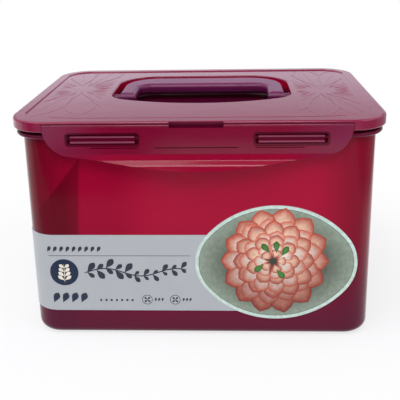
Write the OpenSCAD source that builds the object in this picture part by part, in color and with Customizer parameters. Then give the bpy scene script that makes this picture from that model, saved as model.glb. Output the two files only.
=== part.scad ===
// A lidded food keeper: a deep tub with a sealed lid, two snap flaps that lock
// under its rim, and a bail handle that folds into a well in the lid.
// Millimetres, +Z up, origin at the middle of the base, the label faces -Y.

/* [Lid] */
// Width of the lid, side to side
lid_w = 232; // [210:1:260]
// Depth of the lid, front to back
lid_d = 171; // [155:1:195]
// Corner radius of the lid in plan
lid_corner = 24; // [21:0.5:28]
// Thickness of the lid plate
lid_t = 2; // [1.8:0.1:2.4]
// Height of the outer skirt, from the top of the lid to its lower edge
skirt_h = 6.8; // [6:0.1:8]
// Thickness of the outer skirt
skirt_t = 2; // [1.5:0.1:2.4]
// Rounding along the lid's top outer edge
edge_round = 1.6; // [1:0.1:1.8]
// How far the middle panel lies below the border
panel_drop = 0.7; // [0.3:0.1:0.9]
// Width of the raised border round the panel
border_w = 7.8; // [6:0.1:9]
// Thickness of the two walls that hold the seal
channel_t = 1.5; // [1.2:0.1:1.8]
// Depth of the inner wall, which plugs the tub
plug_h = 9; // [7:0.5:12]

/* [Tub] */
// Height of the closed keeper
total_h = 145.5; // [125:0.5:175]
// Thickness of the tub's wall
wall = 2.2; // [1.8:0.1:2.6]
// Thickness of the tub's floor
floor_t = 2.2; // [1.8:0.1:3]
// Slope of the wall from upright, in degrees
draft = 0.5; // [0.2:0.1:1]
// How far the lid reaches past the tub's wall
overhang = 5.7; // [5.6:0.1:6]
// Outer rounding between the wall and the base
base_round = 5.8; // [4:0.1:8]
// Height of the foot ring under the floor
foot_h = 1; // [0.6:0.1:1.6]
// Width of the foot ring
foot_w = 3.2; // [2.5:0.1:5]
// How far the outer flange lies below the tub's rim
flange_drop = 4.6; // [4.2:0.1:5]
// Thickness of the flange
flange_t = 2.9; // [2.4:0.1:3.2]
// How far the flange's edge lies inside the lid's edge
flange_inset = 1.8; // [1.7:0.1:2.4]

/* [Seal] */
// Thickness of the seal over the rim
seal_t = 2; // [1.6:0.1:2.5]
// Depth of the two lips that hang beside the rim
seal_lip = 0.9; // [0.5:0.1:1.4]
// Thickness of each lip
seal_lip_t = 0.6; // [0.4:0.1:0.8]

/* [Flaps] */
// Length of each snap flap
flap_w = 185; // [150:1:188]
// Thickness of a flap
flap_t = 1.8; // [1.4:0.1:2]
// How far a flap stands in front of the lid's skirt
flap_proud = 0.6; // [0.5:0.1:1.2]
// Straight height of a flap, from its hinge to the first bend
flap_straight = 17.2; // [16:0.1:20]
// Length of the slanted band between a flap's two bends
flap_slant = 3.2; // [2:0.1:5]
// Length of the ledge that flares out below the second bend
flap_ledge = 2.2; // [1:0.1:4]
// Length of the finger lip, which turns down again from the ledge
flap_lip = 2.9; // [2:0.1:4]
// Inner radius of the bends
bend_r = 1.5; // [1:0.1:3]
// Tilt of the slanted band, in degrees
slant_tilt = 9; // [4:1:15]
// Tilt of the ledge, in degrees
ledge_tilt = 48; // [30:1:60]
// Tilt of the finger lip, in degrees
lip_tilt = 8; // [2:1:20]
// Radius of the curved lower edge, in front view
belly_r = 200; // [150:5:240]
// Half width of the curved stretch of the lower edge
belly_half = 27; // [20:1:36]
// Radius of a flap's lower corners
flap_corner = 18; // [10:0.5:18]
// Length of each snap slot
slot_w = 42.8; // [30:0.2:45]
// Height of each snap slot
slot_h = 6.1; // [5.6:0.1:7]
// Distance from a flap's end to the far end of its slot
slot_end = 14.7; // [10:0.1:18]
// Width of the sunk frame round each slot
frame_w = 1.2; // [0.6:0.1:1.8]
// Depth of that frame
frame_sink = 0.5; // [0.3:0.1:0.8]
// Gap between a locking tab and each end of its slot
tab_gap = 2; // [1:0.1:4]
// Gap between a locking tab and the lower edge of its slot
tab_clear = 0.7; // [0.5:0.1:1]
// How far a locking tab stays behind the flap's face
tab_sunk = 0.8; // [0.3:0.1:1]
// Height of the channel along a locking tab's face
tab_channel = 1.7; // [1:0.1:2.2]
// Distance from the hinge line to the fine grooves in a flap's face
groove_drop = 13.6; // [12.5:0.1:15]
// Length of the middle groove
groove_w = 50; // [20:1:60]
// Length of the groove under each slot
side_groove_w = 29; // [10:1:40]
// Height and depth of the grooves
groove_t = 0.6; // [0.3:0.1:0.8]
// Width of the window in the middle of the hinge
window_w = 32.6; // [20:0.2:44]
// Height of that window below the hinge line
window_h = 1.2; // [1.1:0.1:2.5]
// Height of the notch in the lid's edge over the window
notch_h = 1.5; // [0.5:0.1:1.5]
// Slope under the lid's edge, which lets a flap swing up, in degrees
hinge_relief = 27; // [24:1:30]

/* [Handle well] */
// Width of the well in the lid
well_w = 125.6; // [115:0.2:130]
// Reach of the well behind the middle of the lid
well_back = 59; // [55:0.5:61]
// Reach of the well in front of the middle of the lid
well_front = 34.5; // [30:0.5:40]
// Radius of the bowed front edge
bow_r = 115; // [100:1:140]
// Radius of the well's front corners
well_front_r = 20; // [14:1:24]
// Radius of the well's back corners
well_back_r = 29; // [27:0.5:34]
// Depth of the well below the panel
well_depth = 13; // [12:0.5:18]
// Thickness of the well's wall and floor
well_t = 1.8; // [1.4:0.1:2.2]
// Rounding along the well's upper edge
well_round = 0.9; // [0.5:0.1:1.2]
// Rounding between the well's wall and floor
well_fillet_r = 3; // [1:0.5:5]

/* [Handle] */
// Gap between the folded handle and the well's side
handle_gap = 3.8; // [3:0.1:6]
// Gap between the folded handle and the well's back
handle_back_gap = 5; // [3:0.1:8]
// Width of the handle's arms
arm_w = 12; // [9:0.5:15]
// Width of the grip
grip_w = 23.5; // [16:0.5:26]
// Thickness of the handle
handle_t = 8.4; // [7:0.1:9.5]
// Rounding along the handle's long edges
grip_round = 3.4; // [2:0.1:3.5]
// Inner corner radius between grip and arms
handle_inner_r = 9; // [5:0.5:14]
// Place of the pivots, in front (-) of or behind (+) the middle of the lid
pivot_y = 2; // [-2:0.5:8]
// Radius of the pivot pins
pin_r = 2.4; // [1.8:0.1:3]
// Running gap round a pin
pin_gap = 0.05; // [0.03:0.01:0.09]
// Depth of the blind hole behind the well's wall
pin_reach = 3.6; // [2.5:0.1:5]
// Wall of the boss round the hole
boss_t = 2; // [1.5:0.1:3]

/* [Label] */
// Lower edge of the label above the base
label_z = 17.5; // [14:0.5:26]
// Height of the label's band
label_h = 52.7; // [40:0.1:60]
// Thickness of the label
label_t = 0.25; // [0.2:0.05:0.4]
// Length of the label on the left side of the tub
label_wrap = 45; // [20:1:80]
// Corner radius at the label's end
label_end_r = 4; // [2:0.5:8]
// Half width of the oval badge
badge_a = 51; // [40:0.5:56]
// Half height of the oval badge
badge_b = 39; // [33:0.5:42]
// Radius of the badge's two ends
badge_end_r = 28; // [20:0.5:32]
// Distance from the badge's middle to the middle of the tub
badge_x = 48.3; // [40:0.1:54]
// Height of the badge's middle above the base
badge_z = 51; // [46:0.5:62]

/* [Hidden] */
$fn = 64;
seat = 0.1;        // between parts that rest on each other
pin_end_gap = 0.6; // between a pin's end and the bottom of its hole
slide = 0.2;       // between the seal and the walls of its channel
swing = 0.15;      // round the flap's hinge bead
flap_side = 0.4;   // between a flap's end and the cut skirt
tiny = 0.5;        // overlap that joins two shapes into one
slot_r = 1;        // corners of the snap slots and of the window
rim_room = 1.2;    // between the flange and the channel's outer wall
tab_lead = 0.9;    // slope at the top of a locking tab, and depth of its channel
slot_over = 0.7;   // between a locking tab's top and its slot's upper edge
hinge_gap = 0.5;   // by which the lid's edge clears the hinge in front of it
lip_trim = 0.5;    // cut from the finger lip's end by the flap's curved edge
crossing = 0.15;   // by which the flap's arcs reach past its straight edges
handle_sunk = 0.2; // of the folded handle's top under the panel

crimson = [0.66, 0.05, 0.19];
deep_crimson = [0.55, 0.04, 0.17];
plum = [0.22, 0.04, 0.17];
pale = [0.72, 0.73, 0.76];
clear_grey = [0.85, 0.83, 0.84];

// The corner arcs of every ring share these centres.
hx = lid_w/2 - lid_corner;
hy = lid_d/2 - lid_corner;

// Heights
plate_z = total_h - lid_t;
panel_z = total_h - panel_drop;
rim_z = plate_z - seal_t - seat;
flange_top = rim_z - flange_drop;
flange_z = flange_top - flange_t;

// Distances outward from the corner centres
rim_r = lid_corner - overhang;
flange_r = lid_corner - flange_inset;
plug_r = rim_r - wall - slide - seal_lip_t - slide/2;
outer_channel_r = rim_r + slide + seal_lip_t + slide;
base_r = rim_r - rim_z*tan(draft);

// Flap section, measured outward from the middle of the keeper
flap_out = lid_d/2 + flap_proud;
flap_in = flap_out - flap_t;
hinge_y = flap_out - flap_t/2;
bead_r = flap_t/2 + 0.1;    // a little thicker than the flap
hinge_z = plate_z - flap_t/2;
slot_top = flange_top + slot_over;
slot_z = slot_top - slot_h;
tab_out = flap_out - tab_sunk;
slot_in = flap_w/2 - slot_end - slot_w;

// Handle well
corner_past = 0.05;        // by which the corner pits cross the sides and the bow
well_floor = panel_z - well_depth;
well_long = well_back;     // half length of the straight pit, which the bow cuts short
bow_y = bow_r - well_front;
corner_x = well_w/2 - well_front_r + corner_past;
corner_y = bow_y - sqrt(pow(bow_r - well_front_r + corner_past, 2) - corner_x*corner_x);

// Handle
pivot_z = panel_z - handle_sunk - handle_t/2;
handle_half = well_w/2 - handle_gap;
handle_back = well_back - handle_back_gap;
grip_front = handle_back - grip_w;
inner_half = handle_half - arm_w;
pin_end = well_w/2 + pin_reach;
arm_run = well_back;       // long enough for the outlines to run past the arms' ends

function arc_point(a, t) = [a[0] + a[2]*cos(a[3] + t*a[4]), a[1] + a[2]*sin(a[3] + t*a[4])];

// A closed outline is a list of arcs [centre x, centre y, radius, start angle, sweep],
// joined by straight lines from each arc's end to the next one's start.
function rounded(x, y, r) = [
    [x, y, r, 0, 90], [-x, y, r, 90, 90], [-x, -y, r, 180, 90], [x, -y, r, 270, 90]
];

// The flat region inside an outline
module region(outline) {
    corners = [for (a = outline) for (t = [0, 1]) arc_point(a, t)];
    polygon(corners);
    for (a = outline) if (a[2] > 0) {
        p = arc_point(a, 0);
        q = arc_point(a, 1);
        m = a[3] + a[4]/2;
        n = [cos(m), sin(m)];
        intersection() {
            translate([a[0], a[1]]) circle(a[2], $fn = 128);
            polygon([p - tiny*n, q - tiny*n, q + a[2]*n, p + a[2]*n]);
        }
    }
}

// Carries a section, drawn as (outward, up), once round an outline.
module sweep(outline) {
    count = len(outline);
    for (i = [0 : count - 1]) {
        a = outline[i];
        p = arc_point(a, 1);
        q = arc_point(outline[(i + 1) % count], 0);
        translate([a[0], a[1], 0]) rotate(a[3])
            rotate_extrude(angle = a[4], $fn = 128) translate([a[2], 0]) children();
        if (norm(q - p) > 0.01)
            translate([p[0], p[1], 0]) rotate(a[3] + a[4])
                translate([0, norm(q - p), 0]) rotate([90, 0, 0])
                    linear_extrude(norm(q - p)) children();
    }
}

// The same for the keeper's own rounded rectangle, filled in the middle
module ring() sweep(rounded(hx, hy, 0)) children();

module quarter(r, x, y, turn) {
    translate([x, y]) rotate(turn) intersection() {
        circle(r);
        square(r + 1);
    }
}

// Half of a vertical section of a tapered tub with a rounded bottom edge
module tub_half(bottom_r, top_r, z0, z1, round_r) {
    slope = (top_r - bottom_r)/(z1 - z0)*round_r;
    polygon([[0, z0], [bottom_r - round_r, z0], [bottom_r + slope, z0 + round_r], [top_r, z1], [0, z1]]);
    quarter(round_r, bottom_r - round_r, z0 + round_r, -90);
}

module tub_section() {
    difference() {
        union() {
            tub_half(base_r, rim_r, 0, rim_z, base_round);
            translate([rim_r - wall, flange_z]) square([flange_r - rim_r + wall - flange_t/2, flange_t]);
            translate([flange_r - flange_t/2, flange_z + flange_t/2]) circle(flange_t/2);
        }
        tub_half(base_r - wall, rim_r - wall, foot_h + floor_t, rim_z + 1, base_round - wall);
        translate([-1, -1]) square([base_r - base_round - foot_w + 1, foot_h + 1]);
    }
}

// The same at the back and, mirrored, at the front
module both_sides() for (s = [0, 1]) mirror([0, s, 0]) children();

module tab() {
    tab_z = slot_z + tab_clear;
    tab_w = slot_w - 2*tab_gap;
    root = hy + rim_r - wall/2;
    mid = (tab_z + flange_top)/2;
    // Two ribs with a channel between them
    translate([slot_in + tab_gap, 0, 0]) rotate([90, 0, 90]) linear_extrude(tab_w) difference() {
        polygon([[root, tab_z], [tab_out, tab_z], [tab_out, flange_top - tab_lead],
                 [tab_out - tab_lead, flange_top], [root, flange_top]]);
        translate([tab_out - tab_lead, mid - tab_channel/2]) square([tab_lead + 1, tab_channel]);
    }
}

module container() {
    color(crimson) union() {
        ring() tub_section();
        translate([-hx, -hy, foot_h]) cube([2*hx, 2*hy, floor_t]);
        both_sides() for (m = [0, 1]) mirror([m, 0, 0]) tab();
    }
}

module label_section(z0, z1) {
    r0 = base_r + z0*tan(draft);
    r1 = base_r + z1*tan(draft);
    polygon([[r0, z0], [r0 + label_t, z0], [r1 + label_t, z1], [r1, z1]]);
}

// Outline of the badge: two end arcs and two long arcs that meet them smoothly
module badge() {
    cx = badge_a - badge_end_r;
    k = badge_b - badge_end_r;
    drop = (cx*cx - k*k)/(2*k);
    big = badge_b + drop;
    tangent_x = cx + badge_end_r*cx/(big - badge_end_r);
    for (s = [-1, 1]) translate([s*cx, 0]) circle(badge_end_r, $fn = 128);
    intersection() {
        translate([0, -drop]) circle(big, $fn = 256);
        translate([0, drop]) circle(big, $fn = 256);
        square([2*tangent_x, 2*badge_b + 2], center = true);
    }
}

module label() {
    low = min(label_z, badge_z - badge_b);
    high = max(label_z + label_h, badge_z + badge_b);
    far = lid_d;
    color(pale) intersection() {
        ring() label_section(low, high);
        union() {
            // Front, with the badge over the band's right end
            rotate([90, 0, 0]) linear_extrude(far) {
                translate([-lid_w, label_z]) square([lid_w + badge_x, label_h]);
                translate([badge_x, badge_z]) badge();
            }
            // Left side, with a rounded end
            translate([-lid_w, 0, 0]) rotate([90, 0, 90]) linear_extrude(lid_w - hx) {
                translate([-hy - 1, label_z]) square([label_wrap + 1 - label_end_r, label_h]);
                translate([-hy, label_z + label_end_r]) square([label_wrap, label_h - 2*label_end_r]);
                for (z = [label_end_r, label_h - label_end_r])
                    translate([label_wrap - hy - label_end_r, label_z + z]) circle(label_end_r);
            }
        }
    }
}

module gasket_section() {
    r0 = plug_r + slide/2;
    r1 = outer_channel_r - slide/2;
    z0 = rim_z + seat/2;
    z1 = plate_z - seat/2;
    translate([r0, z0]) square([r1 - r0, z1 - z0]);
    translate([r0, z0 - seal_lip]) square([seal_lip_t, seal_lip + tiny]);
    translate([r1 - seal_lip_t, z0 - seal_lip]) square([seal_lip_t, seal_lip + tiny]);
}

module gasket() color(clear_grey) ring() gasket_section();

module lid_section() {
    edge = lid_corner - border_w;
    skirt_z = total_h - skirt_h;
    channel_z = flange_top + rim_room;
    polygon([[0, plate_z], [lid_corner, plate_z], [lid_corner, total_h - edge_round],
             [lid_corner - edge_round, total_h], [edge + panel_drop, total_h],
             [edge, panel_z], [0, panel_z]]);
    quarter(edge_round, lid_corner - edge_round, total_h - edge_round, 0);
    // Skirt, with a rounded lower edge
    translate([lid_corner - skirt_t, skirt_z + skirt_t/2])
        square([skirt_t, plate_z - skirt_z - skirt_t/2 + tiny]);
    translate([lid_corner - skirt_t/2, skirt_z + skirt_t/2]) circle(skirt_t/2);
    // Walls of the seal's channel
    translate([plug_r - channel_t, plate_z - plug_h]) square([channel_t, plug_h + tiny]);
    translate([outer_channel_r, channel_z]) square([channel_t, plate_z - channel_z + tiny]);
}

// What is cut from the lid so that a flap can hang and turn, drawn as (outward, up)
module flap_room_section() {
    inner = hy + outer_channel_r + channel_t;
    low = total_h - skirt_h - 1;
    bead = bead_r + swing;
    under = hinge_z + bead;
    far = flap_out + 1;
    // The plate's lower side slants up in front of the hinge, so the flap can pass level
    polygon([[inner, low], [inner, plate_z], [hinge_y - bead, plate_z], [hinge_y, under],
             [hinge_y, under + hinge_gap],
             [far, under + hinge_gap + (far - hinge_y)*tan(hinge_relief)], [far, low]]);
    translate([hinge_y, hinge_z]) circle(bead);
}

// Half section of a round pit as deep as the well, with a rounded floor and upper edge
module pit_section(r) {
    top = panel_z - well_round;
    translate([0, well_floor]) square([r - well_fillet_r, well_depth]);
    translate([0, well_floor + well_fillet_r]) square([r, well_depth - well_fillet_r + 1]);
    quarter(well_fillet_r, r - well_fillet_r, well_floor + well_fillet_r, -90);
    difference() {
        translate([r - tiny, top]) square([well_round + tiny, well_round + 1]);
        translate([r + well_round, top]) circle(well_round);
    }
}

// The well's hollow. It is a long pit with straight sides, cut short by a wide round pit
// that bows its front, and two small round pits shape the corners between them.
module well_hollow() {
    x = well_w/2 - well_back_r;
    difference() {
        intersection() {
            translate([0, well_back - well_back_r - well_long, 0]) {
                sweep(rounded(x, well_long, 0)) pit_section(well_back_r);
                translate([-x, -well_long, well_floor]) cube([2*x, 2*well_long, well_depth + 1]);
            }
            translate([0, bow_y, 0]) rotate_extrude($fn = 256) pit_section(bow_r);
        }
        for (m = [0, 1]) mirror([m, 0, 0]) difference() {
            translate([0, 0, well_floor - 1]) linear_extrude(well_depth + 3) well_corner();
            translate([corner_x, corner_y, 0]) rotate_extrude($fn = 128) pit_section(well_front_r);
        }
    }
}

// The wedge in plan that a front corner's round pit fills
module well_corner() {
    far = 2*well_w;
    polygon([[corner_x, corner_y], [far, corner_y], [far, -far],
             [corner_x + far*corner_x/(bow_y - corner_y), corner_y - far]]);
}

// Plan of the well's outer wall
module well_wall_plan() {
    x = well_w/2 - well_back_r;
    difference() {
        intersection() {
            translate([0, well_back - well_back_r - well_long])
                region(rounded(x, well_long, well_back_r + well_t));
            translate([0, bow_y]) circle(bow_r + well_t, $fn = 256);
        }
        for (m = [0, 1]) mirror([m, 0]) difference() {
            well_corner();
            translate([corner_x, corner_y]) circle(well_front_r + well_t, $fn = 128);
        }
    }
}

module lid() {
    room_w = flap_w + 2*flap_side;
    boss_r = pin_r + boss_t;
    color(deep_crimson) difference() {
        union() {
            ring() lid_section();
            translate([-hx, -hy, plate_z]) cube([2*hx, 2*hy, panel_z - plate_z]);
            translate([0, 0, well_floor - well_t]) linear_extrude(plate_z + tiny - well_floor + well_t)
                well_wall_plan();
            // Blind bosses for the handle's pins
            for (s = [-1, 1]) translate([s*(well_w/2 + tiny), pivot_y, pivot_z])
                rotate([0, s*90, 0]) cylinder(r = boss_r, h = pin_reach + boss_t - tiny);
        }
        for (s = [-1, 1]) translate([s*(well_w/2 - 1), pivot_y, pivot_z])
            rotate([0, s*90, 0]) cylinder(r = pin_r + pin_gap, h = pin_reach + 1);
        well_hollow();
        both_sides() {
            translate([-room_w/2, 0, 0]) rotate([90, 0, 90])
                linear_extrude(room_w) flap_room_section();
            // Notch over the window in the hinge
            translate([-window_w/2, flap_in - tiny, plate_z - tiny])
                cube([window_w, flap_t + 2, notch_h + tiny]);
        }
    }
}

// Section of what is cut from a long edge of the handle to round it, at its top
module edge_cut(r) difference() {
    translate([-r, pivot_z + handle_t/2 - r]) square(r + 1);
    translate([-r, pivot_z + handle_t/2 - r]) circle(r);
}

module both_edges() for (m = [0, 1]) translate([0, m*2*pivot_z]) mirror([0, m]) children();

// A bail: a U with rounded edges that opens towards the front, round eyes and two pins
module handle() {
    outer_r = max(well_back_r - handle_gap, grip_round + 1);
    inner_r = handle_inner_r;
    outer = rounded(handle_half - outer_r, arm_run, outer_r);
    inner = rounded(inner_half - inner_r, arm_run, inner_r);
    outer_y = handle_back - outer_r - arm_run;
    inner_y = grip_front - inner_r - arm_run;
    color(plum) union() {
        difference() {
            intersection() {
                linear_extrude(total_h) difference() {
                    translate([0, outer_y]) region(outer);
                    translate([0, inner_y]) region(inner);
                }
                // Side view, with an eye round the pivot
                translate([-handle_half - 1, 0, 0]) rotate([90, 0, 90]) linear_extrude(2*handle_half + 2) {
                    translate([pivot_y, pivot_z]) circle(handle_t/2);
                    translate([pivot_y, pivot_z - handle_t/2]) square([handle_back + 1 - pivot_y, handle_t]);
                }
            }
            translate([0, outer_y, 0]) sweep(outer) both_edges() edge_cut(grip_round);
            translate([0, inner_y, 0]) sweep(inner) both_edges() mirror([1, 0]) edge_cut(grip_round);
        }
        for (s = [-1, 1]) translate([s*(handle_half - arm_w/2), pivot_y, pivot_z])
            rotate([0, s*90, 0]) cylinder(r = pin_r, h = pin_end - pin_end_gap - handle_half + arm_w/2);
    }
}

// A flap's stretches from its hinge down, as [length, tilt]
stretches = [[flap_straight, 0], [flap_slant, slant_tilt], [flap_ledge, ledge_tilt], [flap_lip, lip_tilt]];
last = len(stretches) - 1;

// Way along the bend that follows stretch i, up to the tilt a, as (outward, up)
function bend(i, a) = let (from = stretches[i][1], to = stretches[i + 1][1])
    sign(to - from)*(bend_r + flap_t/2)*[cos(from) - cos(a), sin(from) - sin(a)];

// Where the middle of stretch i starts and stops, from the hinge
function start(i) = i == 0 ? [0, 0] : stop(i - 1) + bend(i - 1, stretches[i][1]);
function stop(i) = start(i) + stretches[i][0]*[sin(stretches[i][1]), -cos(stretches[i][1])];

// The middle line of a flap's section, as [point, tilt], with short steps round the bends
function middle_line() = concat(
    [[[0, 0], 0]],
    [for (i = [0 : last - 1]) let (from = stretches[i][1], turn = stretches[i + 1][1] - from,
                                   steps = ceil(abs(turn)/5))
        for (k = [0 : steps]) [stop(i) + bend(i, from + turn*k/steps), from + turn*k/steps]],
    [[stop(last), stretches[last][1]]]
);

module flap_side_view() {
    line = middle_line();
    count = len(line);
    translate([hinge_y, hinge_z])
        polygon([for (side = [1, -1], i = [0 : count - 1])
            let (p = line[side > 0 ? i : count - 1 - i]) p[0] + side*flap_t/2*[cos(p[1]), sin(p[1])]]);
}

// Front view of a flap as (across, up), before its slots. Its lower edge slants up to both
// sides from a curved middle. The arcs cross the straight edges at a slight angle.
module flap_front_view() {
    side = flap_w/2;
    top = hinge_z + flap_t;
    low = hinge_z + stop(last)[1] + lip_trim;
    tilt = asin(belly_half/belly_r);
    bottom = low + belly_r*(1 - 1/cos(tilt)) + crossing;
    edge = bottom + side*tan(tilt);
    r = min(flap_corner, 0.95*(hinge_z - edge)/tan(45 - tilt/2));
    cx = side - r + crossing;
    cz = bottom + (cx*sin(tilt) + r - crossing)/cos(tilt);
    difference() {
        polygon([[side, top], [-side, top], [-side, edge], [0, bottom], [side, edge]]);
        difference() {
            translate([-belly_half, bottom - 1]) square([2*belly_half, belly_r]);
            translate([0, low + belly_r]) circle(belly_r, $fn = 256);
        }
        for (m = [0, 1]) mirror([m, 0]) difference() {
            translate([cx + r*sin(tilt), bottom]) square([r, cz - bottom]);
            translate([cx, cz]) circle(r, $fn = 128);
        }
    }
}

// One slot with rounded corners, as (across, up), grown all round by a margin
module slot_view(margin) {
    translate([slot_in + slot_w/2, slot_z + slot_h/2])
        region(rounded(slot_w/2 - slot_r, slot_h/2 - slot_r, slot_r + margin));
}

// Fine grooves in the face, as (across, up)
module groove_view() {
    translate([-groove_w/2, hinge_z - groove_drop]) square([groove_w, groove_t]);
    for (m = [0, 1]) mirror([m, 0])
        translate([slot_in, hinge_z - groove_drop]) square([side_groove_w, groove_t]);
}

module flap() {
    color(deep_crimson) difference() {
        union() {
            intersection() {
                translate([-flap_w/2, 0, 0]) rotate([90, 0, 90]) linear_extrude(flap_w) flap_side_view();
                translate([0, lid_d, 0]) rotate([90, 0, 0]) linear_extrude(lid_d) flap_front_view();
            }
            // The bead it turns on
            translate([-flap_w/2, hinge_y, hinge_z]) rotate([0, 90, 0]) cylinder(r = bead_r, h = flap_w);
        }
        translate([0, lid_d, 0]) rotate([90, 0, 0]) linear_extrude(lid_d) {
            for (m = [0, 1]) mirror([m, 0]) slot_view(0);
            // Window through the hinge
            translate([0, hinge_z]) region(rounded(window_w/2 - slot_r, window_h - slot_r, slot_r));
        }
        translate([0, flap_out + 1, 0]) rotate([90, 0, 0]) {
            linear_extrude(frame_sink + 1) for (m = [0, 1]) mirror([m, 0]) slot_view(frame_w);
            linear_extrude(groove_t + 1) groove_view();
        }
    }
}

module front_flap() mirror([0, 1, 0]) flap();

module back_flap() flap();

container();
label();
gasket();
lid();
handle();
front_flap();
back_flap();
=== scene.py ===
from math import atan2, cos, hypot, pi, radians, sin

import bpy
from mathutils import Matrix, Vector


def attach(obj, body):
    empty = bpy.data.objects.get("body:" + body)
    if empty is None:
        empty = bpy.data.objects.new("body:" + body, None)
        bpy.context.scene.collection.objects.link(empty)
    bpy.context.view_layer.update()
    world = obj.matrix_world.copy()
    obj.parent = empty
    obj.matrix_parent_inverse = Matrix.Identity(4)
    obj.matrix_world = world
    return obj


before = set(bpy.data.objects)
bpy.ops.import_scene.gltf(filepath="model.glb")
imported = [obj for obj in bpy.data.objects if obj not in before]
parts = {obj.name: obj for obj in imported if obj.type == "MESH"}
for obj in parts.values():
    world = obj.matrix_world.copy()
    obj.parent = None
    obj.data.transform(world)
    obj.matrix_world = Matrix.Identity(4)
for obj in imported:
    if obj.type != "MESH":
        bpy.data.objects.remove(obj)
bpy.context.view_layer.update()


# Camera: a little right of the middle and above the lid, looking slightly down and left.
# Its lens and place come from the outline of the keeper in the photograph.
camera = bpy.data.objects.new("camera", bpy.data.cameras.new("camera"))
bpy.context.scene.collection.objects.link(camera)
bpy.context.scene.camera = camera
stand = (0.020681, -0.482317, 0.248669)
pitch, yaw, roll = 0.252545, -0.046001, -0.018940
ahead = Vector((sin(yaw)*cos(pitch), cos(yaw)*cos(pitch), -sin(pitch)))
across = Vector((cos(yaw), -sin(yaw), 0))
upward = across.cross(ahead)
across, upward = cos(roll)*across + sin(roll)*upward, cos(roll)*upward - sin(roll)*across
camera.matrix_world = Matrix.Translation(stand) @ Matrix((across, upward, -ahead)).transposed().to_4x4()
camera.data.sensor_width = 36
camera.data.lens = 62.6
camera.data.shift_y = -0.2
camera.data.clip_start, camera.data.clip_end = 0.01, 50
bpy.context.scene.view_settings.view_transform = "Standard"


# Studio: a plain pale floor, a soft lamp overhead to the left, a weaker one on the right,
# and even light all round. The background is white by its own colour.
def add_node(tree, kind, inputs=None, **settings):
    made = tree.nodes.new(kind)
    for name, value in settings.items():
        setattr(made, name, value)
    for name, value in (inputs or {}).items():
        if isinstance(value, bpy.types.NodeSocket):
            tree.links.new(value, made.inputs[name])
        else:
            made.inputs[name].default_value = value
    return made


def paint(red, green, blue):
    """A colour picked on the screen, 0 to 255, as the linear one that shaders take"""
    screen = [c/255 for c in (red, green, blue)]
    return [c/12.92 if c <= 0.04045 else ((c + 0.055)/1.055)**2.4 for c in screen] + [1]


def calc(tree, operation, one, other=0.0):
    return add_node(tree, "ShaderNodeMath", {0: one, 1: other}, operation=operation).outputs[0]


def ramp(tree, value, start, stop, low, high, kind="LINEAR"):
    """low up to start, high from stop on, and a slope between them"""
    ends = {"Value": value, "From Min": start, "From Max": stop, "To Min": low, "To Max": high}
    return add_node(tree, "ShaderNodeMapRange", ends, interpolation_type=kind).outputs[0]


def here(tree):
    """The point of the surface that is being coloured, in metres"""
    return add_node(tree, "ShaderNodeTexCoord").outputs["Object"]


def split(tree, point):
    """The x, y and z of a point or a direction"""
    return add_node(tree, "ShaderNodeSeparateXYZ", {0: point}).outputs


def size_of(tree, value):
    return calc(tree, "ABSOLUTE", value)


def seen_directly(tree):
    """1 for rays from the camera, a mirror or clear plastic, and 0 for the light that falls on things"""
    path = add_node(tree, "ShaderNodeLightPath")
    some = calc(tree, "MAXIMUM", path.outputs["Is Camera Ray"], path.outputs["Is Glossy Ray"])
    return calc(tree, "MAXIMUM", some, path.outputs["Is Transmission Ray"])


studio = bpy.data.worlds.new("studio")
bpy.context.scene.world = studio
studio.use_nodes = True
air = studio.node_tree
air.nodes.clear()
soft_light = add_node(air, "ShaderNodeBackground", {"Color": paint(240, 242, 250), "Strength": 0.62})
# What gloss shows: the table's far edge, white paper behind it, a greyer wall and a lit ceiling
aim = split(air, add_node(air, "ShaderNodeTexCoord").outputs["Generated"])
wall_light = ramp(air, aim[2], 0.17, 0.26, 1.42, 0.42)
for axis, start, stop, low in ((0, -0.3, 0.1, 1.12), (1, -0.3, 0.1, 0.12), (2, 0.02, 0.13, 0.2)):
    wall_light = calc(air, "MULTIPLY", wall_light, ramp(air, aim[axis], start, stop, low, 1))
ceiling = calc(air, "MULTIPLY", ramp(air, aim[2], 0.35, 0.5, 0, 1.3), ramp(air, aim[2], 0.75, 0.92, 1, 0.3))
mirrored = add_node(air, "ShaderNodeBackground", {
    "Color": paint(240, 240, 255), "Strength": calc(air, "ADD", wall_light, ceiling)})
backdrop = add_node(air, "ShaderNodeBackground", {"Color": (1, 1, 1, 1), "Strength": 1})
gloss = add_node(air, "ShaderNodeMixShader", {
    0: seen_directly(air), 1: soft_light.outputs[0], 2: mirrored.outputs[0]})
to_camera = add_node(air, "ShaderNodeLightPath").outputs["Is Camera Ray"]
either = add_node(air, "ShaderNodeMixShader", {0: to_camera, 1: gloss.outputs[0], 2: backdrop.outputs[0]})
add_node(air, "ShaderNodeOutputWorld", {"Surface": either.outputs[0]})

floor_white = bpy.data.materials.new("floor_white")
floor_white.use_nodes = True
tree = floor_white.node_tree
tree.nodes.clear()
matt = add_node(tree, "ShaderNodeBsdfDiffuse", {"Color": paint(235, 235, 238)})
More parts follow.
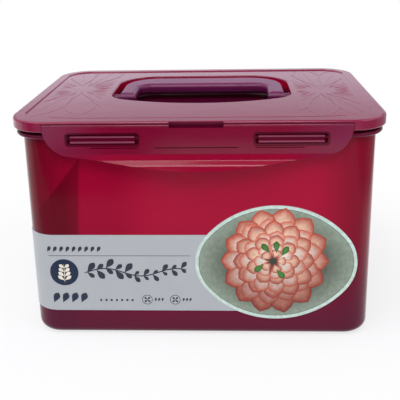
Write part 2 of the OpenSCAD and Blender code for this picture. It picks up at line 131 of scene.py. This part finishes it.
# Gloss shows the white paper on the table as dim where it ends, in front and to the left.
place = here(tree)
x, y, z = split(tree, place)
near = calc(tree, "MAXIMUM", ramp(tree, y, -0.33, -0.315, 0, 0.6), ramp(tree, y, -0.24, -0.1, 0, 1.4))
paper = calc(tree, "MAXIMUM", ramp(tree, x, -0.105, -0.04, 0.05, 1, "SMOOTHSTEP"), near)
paper = calc(tree, "MULTIPLY", paper, ramp(tree, y, -0.55, -0.53, 0.1, 1, "SMOOTHSTEP"))
paper = calc(tree, "MULTIPLY", paper, ramp(tree, x, 0.28, 0.4, 1, 0.4, "SMOOTHSTEP"))
beside = calc(tree, "MULTIPLY", ramp(tree, size_of(tree, x), 0.17, 0.24, 0, 0.65, "SMOOTHSTEP"),
              ramp(tree, y, -0.5, -0.45, 1, 0, "SMOOTHSTEP"))
to_camera = add_node(tree, "ShaderNodeLightPath").outputs["Is Camera Ray"]
power = ramp(tree, to_camera, 0, 1, calc(tree, "MAXIMUM", paper, beside), 1)
bright = add_node(tree, "ShaderNodeEmission", {"Color": (1, 1, 1, 1), "Strength": power})


def outside(tree, place, half_x, half_y):
    """How far a point lies outside an upright box round the middle of the object"""
    past = add_node(tree, "ShaderNodeVectorMath", {0: place}, operation="ABSOLUTE")
    for operation, other in (("SUBTRACT", (half_x, half_y, 1)), ("MAXIMUM", (0, 0, 0))):
        past = add_node(tree, "ShaderNodeVectorMath", {0: past.outputs[0], 1: other}, operation=operation)
    return add_node(tree, "ShaderNodeVectorMath", {0: past.outputs[0]}, operation="LENGTH").outputs["Value"]


# Close to the object the floor takes more of the shadow, and further out it is plain white.
share = ramp(tree, outside(tree, place, 0.1, 0.07), 0, 0.16, 0.7, 1)
share = calc(tree, "MULTIPLY", seen_directly(tree), share)
both = add_node(tree, "ShaderNodeMixShader", {0: share, 1: matt.outputs[0], 2: bright.outputs[0]})
add_node(tree, "ShaderNodeOutputMaterial", {"Surface": both.outputs[0]})
floor_sheet = bpy.data.meshes.new("floor")
floor_sheet.from_pydata([(-6, -6, 0), (6, -6, 0), (6, 6, 0), (-6, 6, 0)], [], [(0, 1, 2, 3)])
floor_sheet.materials.append(floor_white)
floor = bpy.data.objects.new("floor", floor_sheet)
floor.location.z = -0.0002
bpy.context.scene.collection.objects.link(floor)

for name, place, size, power in (
        ("overhead_lamp", (-0.7, -0.5, 1.5), 1.2, 12),
        ("side_lamp", (1.1, -0.6, 0.9), 0.8, 4),
        ("front_lamp", (0, -0.98, 1.2), 0.55, 6)):
    lamp = bpy.data.objects.new(name, bpy.data.lights.new(name, "AREA"))
    lamp.data.size = size
    lamp.data.energy = power
    lamp.location = place
    lamp.rotation_euler = (Vector((0, 0, 0.07)) - Vector(place)).to_track_quat("-Z", "Y").to_euler()
    bpy.context.scene.collection.objects.link(lamp)


# Tub: one deep moulding of clear crimson plastic, polished outside, whose rim, flange,
# locking tabs and foot ring are moulded with it. Its colour gets painted shade low down,
# at the corners, at its left end, in a wedge on the left and on the flange, and painted
# highlights on the ribs of its tabs.
def plastic(name, colour, deep, rough, specular):
    """Moulded plastic: cloudy colour, slightly uneven gloss and faint ripples from the mould"""
    made = bpy.data.materials.new(name)
    made.use_nodes = True
    tree = made.node_tree
    shader = tree.nodes["Principled BSDF"]
    place = here(tree)
    cloud = add_node(tree, "ShaderNodeTexNoise", {"Vector": place, "Scale": 14, "Detail": 3})
    speck = add_node(tree, "ShaderNodeTexNoise", {"Vector": place, "Scale": 900, "Detail": 2})
    ripple = add_node(tree, "ShaderNodeTexNoise", {"Vector": place, "Scale": 45, "Detail": 1})
    height = calc(tree, "ADD", ripple.outputs["Fac"], calc(tree, "MULTIPLY", speck.outputs["Fac"], 0.04))
    bump = add_node(tree, "ShaderNodeBump", {"Strength": 0.05, "Distance": 0.001, "Height": height})
    tree.links.new(mixed(tree, cloud.outputs["Fac"], colour, deep), shader.inputs["Base Color"])
    tree.links.new(ramp(tree, speck.outputs["Fac"], 0, 1, 0.8*rough, 1.3*rough), shader.inputs["Roughness"])
    tree.links.new(bump.outputs[0], shader.inputs["Normal"])
    shader.inputs["Specular IOR Level"].default_value = specular
    return made


def mixed(tree, share, one, other):
    """A colour between two"""
    return add_node(tree, "ShaderNodeMix", {0: share, 6: one, 7: other}, data_type="RGBA").outputs[2]


def tinted(material, share, other):
    """Mixes another colour over a material's own"""
    tree = material.node_tree
    colour = tree.nodes["Principled BSDF"].inputs["Base Color"]
    tree.links.new(mixed(tree, share, colour.links[0].from_socket, other), colour)


def dress(node, material):
    """Gives a CAD node its finish"""
    parts[node].data.materials.clear()
    parts[node].data.materials.append(material)


crimson = plastic("tub_crimson", paint(164, 4, 50), paint(156, 3, 45), 0.11, 0.13)
tree = crimson.node_tree
place = here(tree)
x, y, z = split(tree, place)
# Painted shade: darker towards the corners and at the left end
corner_shade = calc(tree, "MULTIPLY", ramp(tree, size_of(tree, x), 0.068, 0.104, 0, 0.62, "SMOOTHSTEP"),
              ramp(tree, size_of(tree, y), 0.03, 0.063, 0.1, 1, "SMOOTHSTEP"))
left_end_shade = ramp(tree, x, -0.055, -0.03, 0.22, 0, "SMOOTHSTEP")
# Painted shade: a darker wedge on the left of the front wall, where the inner corner at the back would show
# through it
wedge_shade = ramp(tree, y, -0.072, -0.066, 0.42, 0)
for across_edge, start, stop in (((-1.255, 0, 1), 0.2105, 0.2135), ((1, 0, -0.0636), -0.0815, -0.0795)):
    reach = add_node(tree, "ShaderNodeVectorMath", {0: place, 1: across_edge}, operation="DOT_PRODUCT")
    wedge_shade = calc(tree, "MINIMUM", wedge_shade, ramp(tree, reach.outputs["Value"], start, stop, 0.42, 0))
shade = calc(tree, "ADD", calc(tree, "ADD", corner_shade, left_end_shade), wedge_shade)
tinted(crimson, calc(tree, "MINIMUM", shade, 0.9), paint(84, 2, 20))
# Painted shade: darker towards the bottom and on the flange
low = ramp(tree, z, 0.004, 0.085, 0.92, 0, "SMOOTHSTEP")
flange_shade = ramp(tree, outside(tree, place, 0.092, 0.0615), 0.0185, 0.019, 0, 0.8)
tinted(crimson, calc(tree, "MAXIMUM", low, flange_shade), paint(82, 12, 44))
# Painted highlights on the two ribs of each locking tab, above and below the channel along its middle
tab_middle = 0.1343
rib_highlight = ramp(tree, size_of(tree, calc(tree, "SUBTRACT", z, tab_middle)), 0.001, 0.0014, 0, 0.5)
rib_highlight = calc(tree, "MULTIPLY", rib_highlight, ramp(tree, size_of(tree, y), 0.0848, 0.0851, 0, 1))
tinted(crimson, rib_highlight, paint(158, 92, 112))
dress("container", crimson)


# Seal: a soft silicone ring in the lid's channel, pressed on the tub's rim.
# Only its edge shows, when the lid is off.
def silicone():
    made = bpy.data.materials.new("seal_silicone")
    made.use_nodes = True
    tree = made.node_tree
    shader = tree.nodes["Principled BSDF"]
    dust = add_node(tree, "ShaderNodeTexNoise", {"Vector": here(tree), "Scale": 300, "Detail": 4})
    tree.links.new(mixed(tree, dust.outputs["Fac"], paint(225, 220, 222), paint(205, 200, 203)),
                   shader.inputs["Base Color"])
    tree.links.new(ramp(tree, dust.outputs["Fac"], 0, 1, 0.45, 0.65), shader.inputs["Roughness"])
    shader.inputs["Subsurface Weight"].default_value = 0.2
    shader.inputs["Subsurface Scale"].default_value = 0.002
    return made


dress("gasket", silicone())


# Label: a printed plastic film with its own glue, stuck flat on the front of the tub and
# round its left corner. Its ground is a satin pale grey.
def film():
    made = bpy.data.materials.new("label_film")
    made.use_nodes = True
    tree = made.node_tree
    shader = tree.nodes["Principled BSDF"]
    fibre = add_node(tree, "ShaderNodeTexNoise", {"Vector": here(tree), "Scale": 60, "Detail": 5})
    tree.links.new(mixed(tree, fibre.outputs["Fac"], paint(175, 179, 181), paint(168, 172, 175)),
                   shader.inputs["Base Color"])
    tree.links.new(ramp(tree, fibre.outputs["Fac"], 0, 1, 0.3, 0.45), shader.inputs["Roughness"])
    shader.inputs["Specular IOR Level"].default_value = 0.3
    return made


dress("label", film())


# Print on the label: flat shapes of ink on the film, layer over layer. The band has small
# leaves, a rule, a sprig in a navy disc, a vine and seeds, and the oval has a round blossom.
# Sizes are millimetres: x to the right and z up, as the keeper stands.
inked = {"points": [], "faces": [], "inks": []}
corner_x, corner_y = 92, 61.5  # middle of the arc at each corner of the tub
film_out, lean = 17.316, 0.0087269  # from there to the film's face at the base, and its slope


def on_label(x, z, lift):
    """A point in front of the film, which leans outward a little and bends round the left corner"""
    past = max(0, -corner_x - x)
    reach = film_out + lean*z + lift + min(0.08, 0.04*past)
    return (x + past - reach*sin(past/reach))/1000, -(corner_y + reach*cos(past/reach))/1000, z/1000


def blot(outline, ink, edge_ink, lift, middle=None):
    """A filled shape, from one ink in its middle to another at its edge"""
    middle = middle or (sum(p[0] for p in outline)/len(outline), sum(p[1] for p in outline)/len(outline))
    first = len(inked["points"])
    steps = (0.33, 0.66, 1)
    inked["points"].append(on_label(*middle, lift))
    inked["inks"].append(ink)
    for step in steps:
        for x, z in outline:
            spot = (middle[0] + step*(x - middle[0]), middle[1] + step*(z - middle[1]))
            inked["points"].append(on_label(*spot, lift))
            inked["inks"].append([a + step**3*(b - a) for a, b in zip(ink, edge_ink)])
    count = len(outline)
    for i in range(count):
        k = (i + 1) % count
        inked["faces"].append((first, first + 1 + i, first + 1 + k))
        for ring in range(len(steps) - 1):
            low, high = first + 1 + ring*count, first + 1 + (ring + 1)*count
            inked["faces"].append((low + i, high + i, high + k, low + k))


def line(path, width, ink, lift):
    """A drawn line, pointed at its ends"""
    first = len(inked["points"])
    for i, (x, z) in enumerate(path):
        a, b = path[max(i - 1, 0)], path[min(i + 1, len(path) - 1)]
        run = hypot(b[0] - a[0], b[1] - a[1])
        half = width/2*(1 if 0 < i < len(path) - 1 else 0.3)
        across = (-(b[1] - a[1])/run*half, (b[0] - a[0])/run*half)
        for side in (1, -1):
            inked["points"].append(on_label(x + side*across[0], z + side*across[1], lift))
            inked["inks"].append(ink)
        if i:
            k = first + 2*i
            inked["faces"].append((k - 2, k - 1, k + 1, k))


def oval(x, z, wide, high, count=48):
    return [(x + wide*cos(2*pi*i/count), z + high*sin(2*pi*i/count)) for i in range(count)]


def leaf(x, z, length, width, turn, tip=1.6):
    """Outline of a leaf or petal that starts at (x, z) and points along turn"""
    outline = []
    for side in (1, -1):
        for i in range(12):
            along = i/12 if side == 1 else 1 - i/12
            out = side*width/2*sin(pi*along**tip)**0.8 if 0 < along < 1 else 0
            run = length*along
            outline.append((x + run*cos(turn) - out*sin(turn), z + run*sin(turn) + out*cos(turn)))
    return outline


charcoal, navy, cream = paint(52, 50, 60), paint(24, 40, 66), paint(228, 220, 204)
celadon_dark, celadon_light = paint(96, 118, 106), paint(196, 214, 204)
red, orange, peach = paint(176, 52, 36), paint(206, 92, 60), paint(232, 196, 168)
russet, russet_dark = paint(150, 54, 44), paint(92, 26, 26)
leaf_green, leaf_dark = paint(72, 128, 56), paint(38, 80, 36)

# The band: a row of small leaves over a rule, and a vine below it
for i in range(9):
    blot(leaf(-97 + 4*i, 58.4, 4.6, 2.3, radians(62)), charcoal, charcoal, 0.02)
line([(x, 56) for x in range(-97, -4, 2)], 0.35, charcoal, 0.02)
vine = [(x, 44.6 + 2.6*sin((x + 72)/46*2*pi)) for x in range(-74, -6, 2)]
line(vine, 0.8, charcoal, 0.03)
for i, (x, z) in enumerate(vine[1:-1:3]):
    up = 1 if i % 2 == 0 else -1
    size = 1.15 if x < -45 else 0.85
    blot(leaf(x, z, 7.2*size, 3.6*size, up*radians(52)), charcoal, navy, 0.036)
    blot(leaf(x, z, 5.2*size, 2.6*size, -up*radians(38)), charcoal, navy, 0.042)

# The disc with its sprig
blot(oval(-86.8, 44.4, 9.2, 9.2), navy, navy, 0.02)
line([(-86.8, 37.4), (-86.6, 44), (-86.9, 50)], 0.5, cream, 0.03)
for i in range(4):
    for turn in (38, 142):
        blot(leaf(-86.7, 38.7 + 2.9*i, 5.4 - 0.5*i, 2.3, radians(turn)), cream, cream, 0.036 + 0.002*i)

# Seeds below the vine, and two rounds with grains beside them
for i in range(4):
    blot(leaf(-95 + 6*i, 22.8, 8, 4.4, radians(64)), navy, charcoal, 0.02)
for i in range(7):
    blot(oval(-64 + 3.4*i, 24.8, 0.8, 0.8, 16), charcoal, charcoal, 0.02)
for x in (-34, -16):
    line(oval(x, 25.2, 3.2, 3.2, 32) + oval(x, 25.2, 3.2, 3.2, 32)[:2], 0.4, charcoal, 0.02)
    for turn in range(0, 360, 90):
        blot(leaf(x, 25.2, 2.5, 1.3, radians(turn + 45)), charcoal, charcoal, 0.026)
    for i in range(3):
        blot(leaf(x + 5 + 2.2*i, 23.8, 2.8, 1.4, radians(75)), charcoal, charcoal, 0.02)

# The oval: a pale rim, a shaded field and the blossom, ring over ring
badge_x, badge_z = 48.3, 51
bloom_x, bloom_z = 46.5, 52.5


def badge(inset):
    """Outline of the oval: two end arcs and two long ones that meet them smoothly"""
    wide, high, end = 51, 39, 28
    reach, rise = wide - end, high - end
    drop = (reach*reach - rise*rise)/(2*rise)
    big = high + drop
    meet = atan2(drop, reach)
    outline = []
    for x, z, r, start, stop in (
            (reach, 0, end, -meet, meet), (0, -drop, big, meet, pi - meet),
            (-reach, 0, end, pi - meet, pi + meet), (0, drop, big, pi + meet, 2*pi - meet)):
        for i in range(24):
            turn = start + (stop - start)*i/24
            outline.append((badge_x + x + (r - inset)*cos(turn), badge_z + z + (r - inset)*sin(turn)))
    return outline


blot(badge(0.15), celadon_light, celadon_light, 0.02)
blot(badge(2.2), celadon_dark, celadon_dark, 0.024)
blot(badge(2.6), paint(56, 62, 50), paint(140, 152, 136), 0.028, (50, 50))
petal_rings = (
    (14, 33, 16, peach, red), (13, 29, 14, cream, orange), (12, 24.5, 12.5, peach, red),
    (11, 20, 11, cream, orange), (9, 15.5, 9.5, peach, red), (7, 11, 8, cream, orange),
    (5, 6.5, 6, peach, red))
for n, (count, reach, width, ink, edge_ink) in enumerate(petal_rings):
    for i in range(count):
        turn = 2*pi*(i + 0.5*(n % 2))/count + 0.25*sin(5*i + n)/count
        size = reach*(1 + 0.06*sin(7*i + 3*n))
        # The lower petals lie in the blossom's shade
        dark = reach/33*(0.5 - 0.5*sin(turn))
        blot(leaf(bloom_x + 2*cos(turn), bloom_z + 2*sin(turn), size, width, turn, 2.2),
             [a + 0.75*dark*(b - a) for a, b in zip(ink, russet)],
             [a + 0.75*dark*(b - a) for a, b in zip(edge_ink, russet_dark)],
             0.032 + 0.012*n + 0.0008*i, (bloom_x + 0.6*size*cos(turn), bloom_z + 0.6*size*sin(turn)))
for i, turn in enumerate((70, 110, 35, 200, 290)):
    blot(leaf(bloom_x + 6*cos(radians(turn)), bloom_z + 6*sin(radians(turn)), 8, 4, radians(turn + 20)),
         leaf_green, leaf_dark, 0.125 + 0.001*i)

sheet = bpy.data.meshes.new("label_print")
sheet.from_pydata(inked["points"], [], inked["faces"])
inks = sheet.color_attributes.new("ink", "FLOAT_COLOR", "POINT")
for i, ink in enumerate(inked["inks"]):
    inks.data[i].color = ink
label_print = bpy.data.objects.new("label_print", sheet)
bpy.context.scene.collection.objects.link(label_print)


def printed_ink():
    made = bpy.data.materials.new("printed_ink")
    made.use_nodes = True
    tree = made.node_tree
    shader = tree.nodes["Principled BSDF"]
    ink = add_node(tree, "ShaderNodeAttribute", attribute_name="ink").outputs["Color"]
    streak = add_node(tree, "ShaderNodeTexNoise", {"Vector": here(tree), "Scale": 420, "Detail": 4})
    value = ramp(tree, streak.outputs["Fac"], 0.3, 0.7, 0.85, 1.12)
    tint = add_node(tree, "ShaderNodeVectorMath", {0: ink, "Scale": value}, operation="SCALE")
    tree.links.new(tint.outputs[0], shader.inputs["Base Color"])
    tree.links.new(ramp(tree, streak.outputs["Fac"], 0, 1, 0.3, 0.5), shader.inputs["Roughness"])
    shader.inputs["Specular IOR Level"].default_value = 0.3
    return made


sheet.materials.append(printed_ink())
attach(label_print, "keeper")


# Lid: a moulded plate with a raised border, a skirt and the well for the handle. The well's
# wall gets a painted brighter red, and the lid painted shade towards its bottom.
lid_crimson = plastic("lid_crimson", paint(132, 9, 58), paint(116, 6, 50), 0.15, 0.42)
tree = lid_crimson.node_tree
place = here(tree)
z = split(tree, place)[2]
# Painted light: the well's wall is tinted a brighter red
wall_light = calc(tree, "MINIMUM", ramp(tree, z, 0.1425, 0.144, 0.9, 0), ramp(tree, z, 0.1375, 0.1395, 0, 0.9))
wall_light = calc(tree, "MULTIPLY", ramp(tree, outside(tree, place, 0.0635, 0.0605), 0, 0.001, 1, 0), wall_light)
tinted(lid_crimson, wall_light, paint(190, 2, 44))
# Painted shade: darker towards the bottom of the lid, below the well's wall
tinted(lid_crimson, ramp(tree, z, 0.1345, 0.138, 0.8, 0), paint(56, 5, 34))
dress("lid", lid_crimson)


# Relief on the lid: veined petals moulded as fine raised lines on its top, round a point
# at each side of the well. They end short of the well and of the lid's border.
panel_top = 144.8


def ridge(path, width, height, points, faces):
    """A raised line with a rounded back, sunk a little into the lid"""
    section = ((-1, -0.02), (-0.5, 0.7*height), (0, height), (0.5, 0.7*height), (1, -0.02))
    first = len(points)
    for i, (x, y) in enumerate(path):
        a, b = path[max(i - 1, 0)], path[min(i + 1, len(path) - 1)]
        run = hypot(b[0] - a[0], b[1] - a[1])
        side = (-(b[1] - a[1])/run*width/2, (b[0] - a[0])/run*width/2)
        full = 1 if 0 < i < len(path) - 1 else 0.2
        for across, up in section:
            points.append(((x + across*full*side[0])/1000, (y + across*full*side[1])/1000,
                           (panel_top + (up*full if up > 0 else up))/1000))
        if i:
            k = first + 5*i
            faces += [(k - 5 + j, k - 5 + (j + 1) % 5, k + (j + 1) % 5, k + j) for j in range(5)]
    faces += [tuple(range(first, first + 5)), tuple(reversed(range(len(points) - 5, len(points))))]


def on_panel(x, y):
    clear_of_well = abs(x) > 66 or not -38 < y < 62
    return 60 < abs(x) < 106 and abs(y) < 74 and clear_of_well


def petal_lines(x, y, length, width, turn):
    """The two edges of a petal and its veins, from its foot to its tip"""
    shapes = []
    for share in (-1, 1, 0):
        shape = []
        for i in range(25):
            along = i/24*(1 if abs(share) == 1 else 0.8)
            out = share*width/2*sin(pi*along**1.5)**0.8
            reach = 10 + (length - 10)*along
            shape.append((x + reach*cos(turn) - out*sin(turn), y + reach*sin(turn) + out*cos(turn)))
        shapes.append(shape)
    return shapes


points, faces = [], []
for x, y, count, reach, width in ((-88, 12, 16, 84, 20), (84, 2, 17, 80, 19)):
    for i in range(count):
        turn = 2*pi*i/count + 0.18
        for n, shape in enumerate(petal_lines(x, y, reach*(1 + 0.08*sin(4*i)), width, turn)):
            run = []
            for spot in shape + [None]:
                if spot and on_panel(*spot):
                    run.append(spot)
                else:
                    if len(run) > 3:
                        ridge(run, 1.1 if n < 2 else 0.8, 0.12 if n < 2 else 0.09, points, faces)
                    run = []
ridge([(x, -73.5 + (abs(x)/92)**12*4) for x in range(-92, 93, 4)], 1.4, 0.2, points, faces)
relief = bpy.data.meshes.new("lid_relief")
relief.from_pydata(points, [], faces)
relief.polygons.foreach_set("use_smooth", [True]*len(relief.polygons))
relief.materials.append(lid_crimson)
lid_relief = bpy.data.objects.new("lid_relief", relief)
bpy.context.scene.collection.objects.link(lid_relief)
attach(lid_relief, "keeper")


# Handle: a bail moulded of plum plastic, whose two pins snap into blind holes in the sides of
# the lid's well. It lies folded there, and painted shade darkens it towards its bottom, so its satin top
# looks paler than its sides.
plum = plastic("handle_plum", paint(112, 14, 78), paint(92, 10, 66), 0.32, 0.36)
tree = plum.node_tree
z = split(tree, here(tree))[2]
# Painted shade: darker towards the bottom
tinted(plum, ramp(tree, z, 0.1365, 0.1438, 0.75, 0), paint(36, 2, 28))
dress("handle", plum)


# Flaps: the long snap flaps, moulded with the lid and bent at their hinges. Their ends get a
# painted pale sheen, their recessed parts painted shade and their lower part, towards the
# middle, a painted brighter red.
flap_crimson = plastic("flap_crimson", paint(124, 9, 47), paint(110, 6, 41), 0.1, 0.3)
tree = flap_crimson.node_tree
x, y, z = split(tree, here(tree))
# Painted sheen: paler and mauve towards the ends, most in the upper part
ends = calc(tree, "MULTIPLY", ramp(tree, size_of(tree, x), 0.05, 0.09, 0, 0.5, "SMOOTHSTEP"),
            ramp(tree, z, 0.118, 0.136, 0.2, 1))
tinted(flap_crimson, ends, paint(114, 44, 76))
# Painted shade: the recessed parts behind the face, above the lip, are darker
recess_shade = calc(tree, "MULTIPLY", ramp(tree, size_of(tree, y), 0.0857, 0.086, 0.75, 0),
            ramp(tree, z, 0.126, 0.127, 0, 1))
tinted(flap_crimson, recess_shade, paint(70, 2, 24))
# Painted light: a brighter red low down, towards the middle
lit = calc(tree, "MULTIPLY", ramp(tree, z, 0.1246, 0.1256, 0.65, 0),
           ramp(tree, size_of(tree, x), 0.05, 0.074, 1, 0.1, "SMOOTHSTEP"))
tinted(flap_crimson, lit, paint(150, 3, 42))
for name in ("front_flap", "back_flap"):
    dress(name, flap_crimson)
